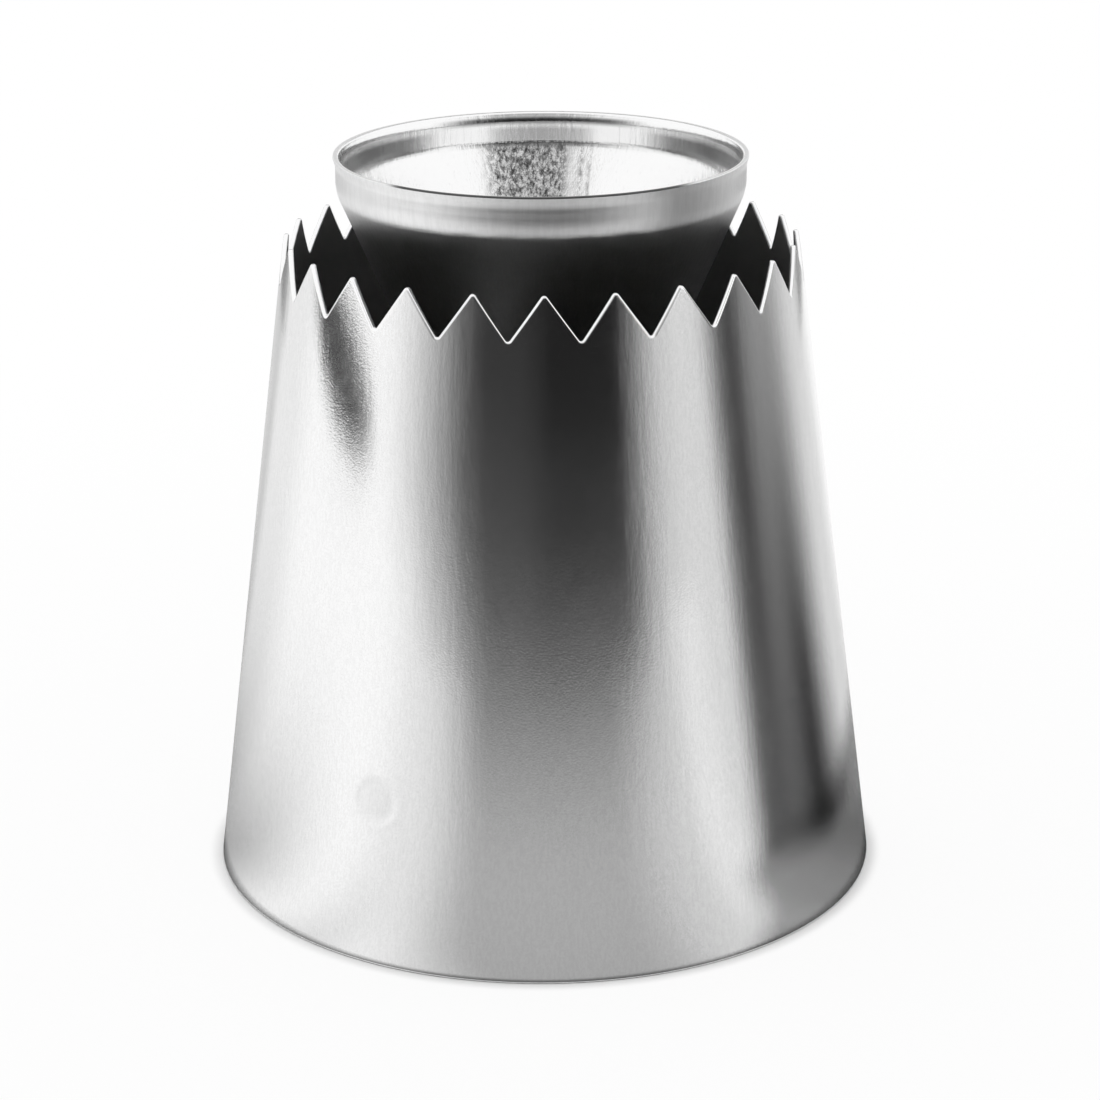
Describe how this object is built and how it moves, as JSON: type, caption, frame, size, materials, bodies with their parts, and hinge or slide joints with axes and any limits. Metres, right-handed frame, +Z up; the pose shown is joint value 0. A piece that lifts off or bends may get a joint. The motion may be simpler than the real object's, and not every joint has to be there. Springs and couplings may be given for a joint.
{
  "type": "piping nozzle",
  "caption": "Ring piping nozzle: a toothed sheet-steel cone around a hollow inner cone with a flared lip, which a bent strap inside carries by its tip.",
  "frame": {"origin": "centre of the round base that the nozzle stands on", "axes": "+Z up along the nozzle's axis towards the teeth and the cup's lip, -Y towards the viewer of the picture"},
  "size_m": [0.065, 0.065, 0.0705],
  "materials": {
    "outer_cone_steel": "stainless sheet with a fine upright brushed grain and bright cut edges",
    "inner_cone_steel": "spun stainless sheet, satin, with light scratches in the cup",
    "strap_steel": "plain mill-finish stainless strip",
    "weld_steel": "fused stainless, dull"
  },
  "bodies": {
    "root": {"outer_cone": "outer_cone_steel", "inner_cone": "inner_cone_steel", "bridge_strap": "strap_steel", "ear_weld_nuggets": "weld_steel", "tip_weld_nugget": "weld_steel"}
  },
  "joints": []
}
